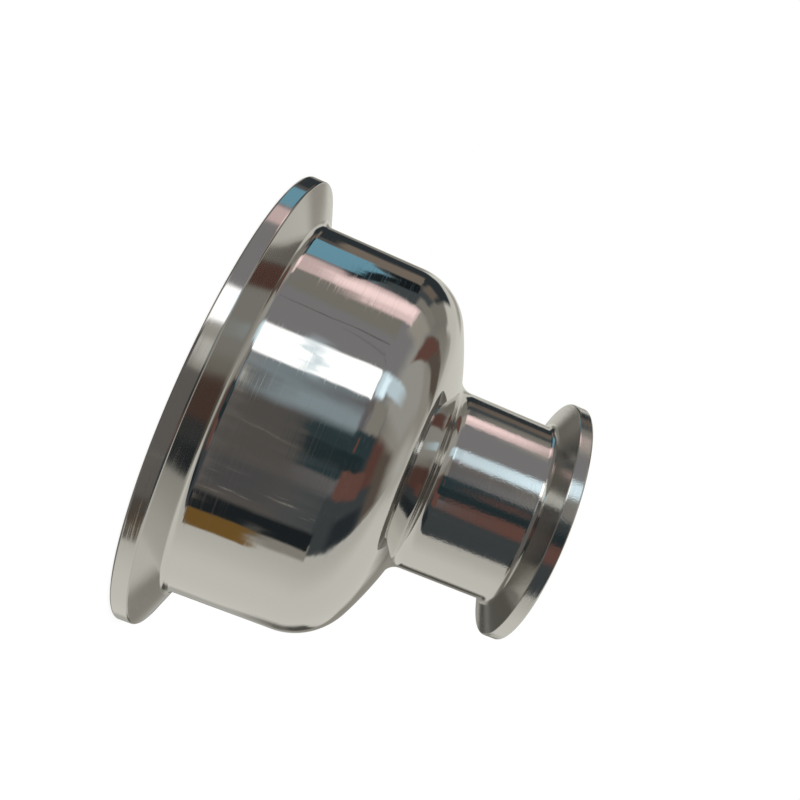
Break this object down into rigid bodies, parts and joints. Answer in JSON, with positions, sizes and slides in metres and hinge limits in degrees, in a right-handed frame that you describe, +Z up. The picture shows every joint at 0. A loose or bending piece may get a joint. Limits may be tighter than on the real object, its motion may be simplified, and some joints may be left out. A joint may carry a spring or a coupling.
{
  "type": "sanitary clamp reducer",
  "caption": "Stainless steel bowl reducer with a dished head, joining a large clamped tube end to a small one on one axis.",
  "frame": {"origin": "centre of the large end's face, which the part stands on", "axes": "+Z up the axis, from the large face to the small face; the part is round about Z"},
  "size_m": [0.091, 0.091, 0.0673],
  "materials": {
    "polished_steel": "stainless steel: tubes and head polished to a mirror, flanges turned to a satin"
  },
  "bodies": {
    "root": {"reducer_body": "polished_steel"}
  },
  "joints": []
}
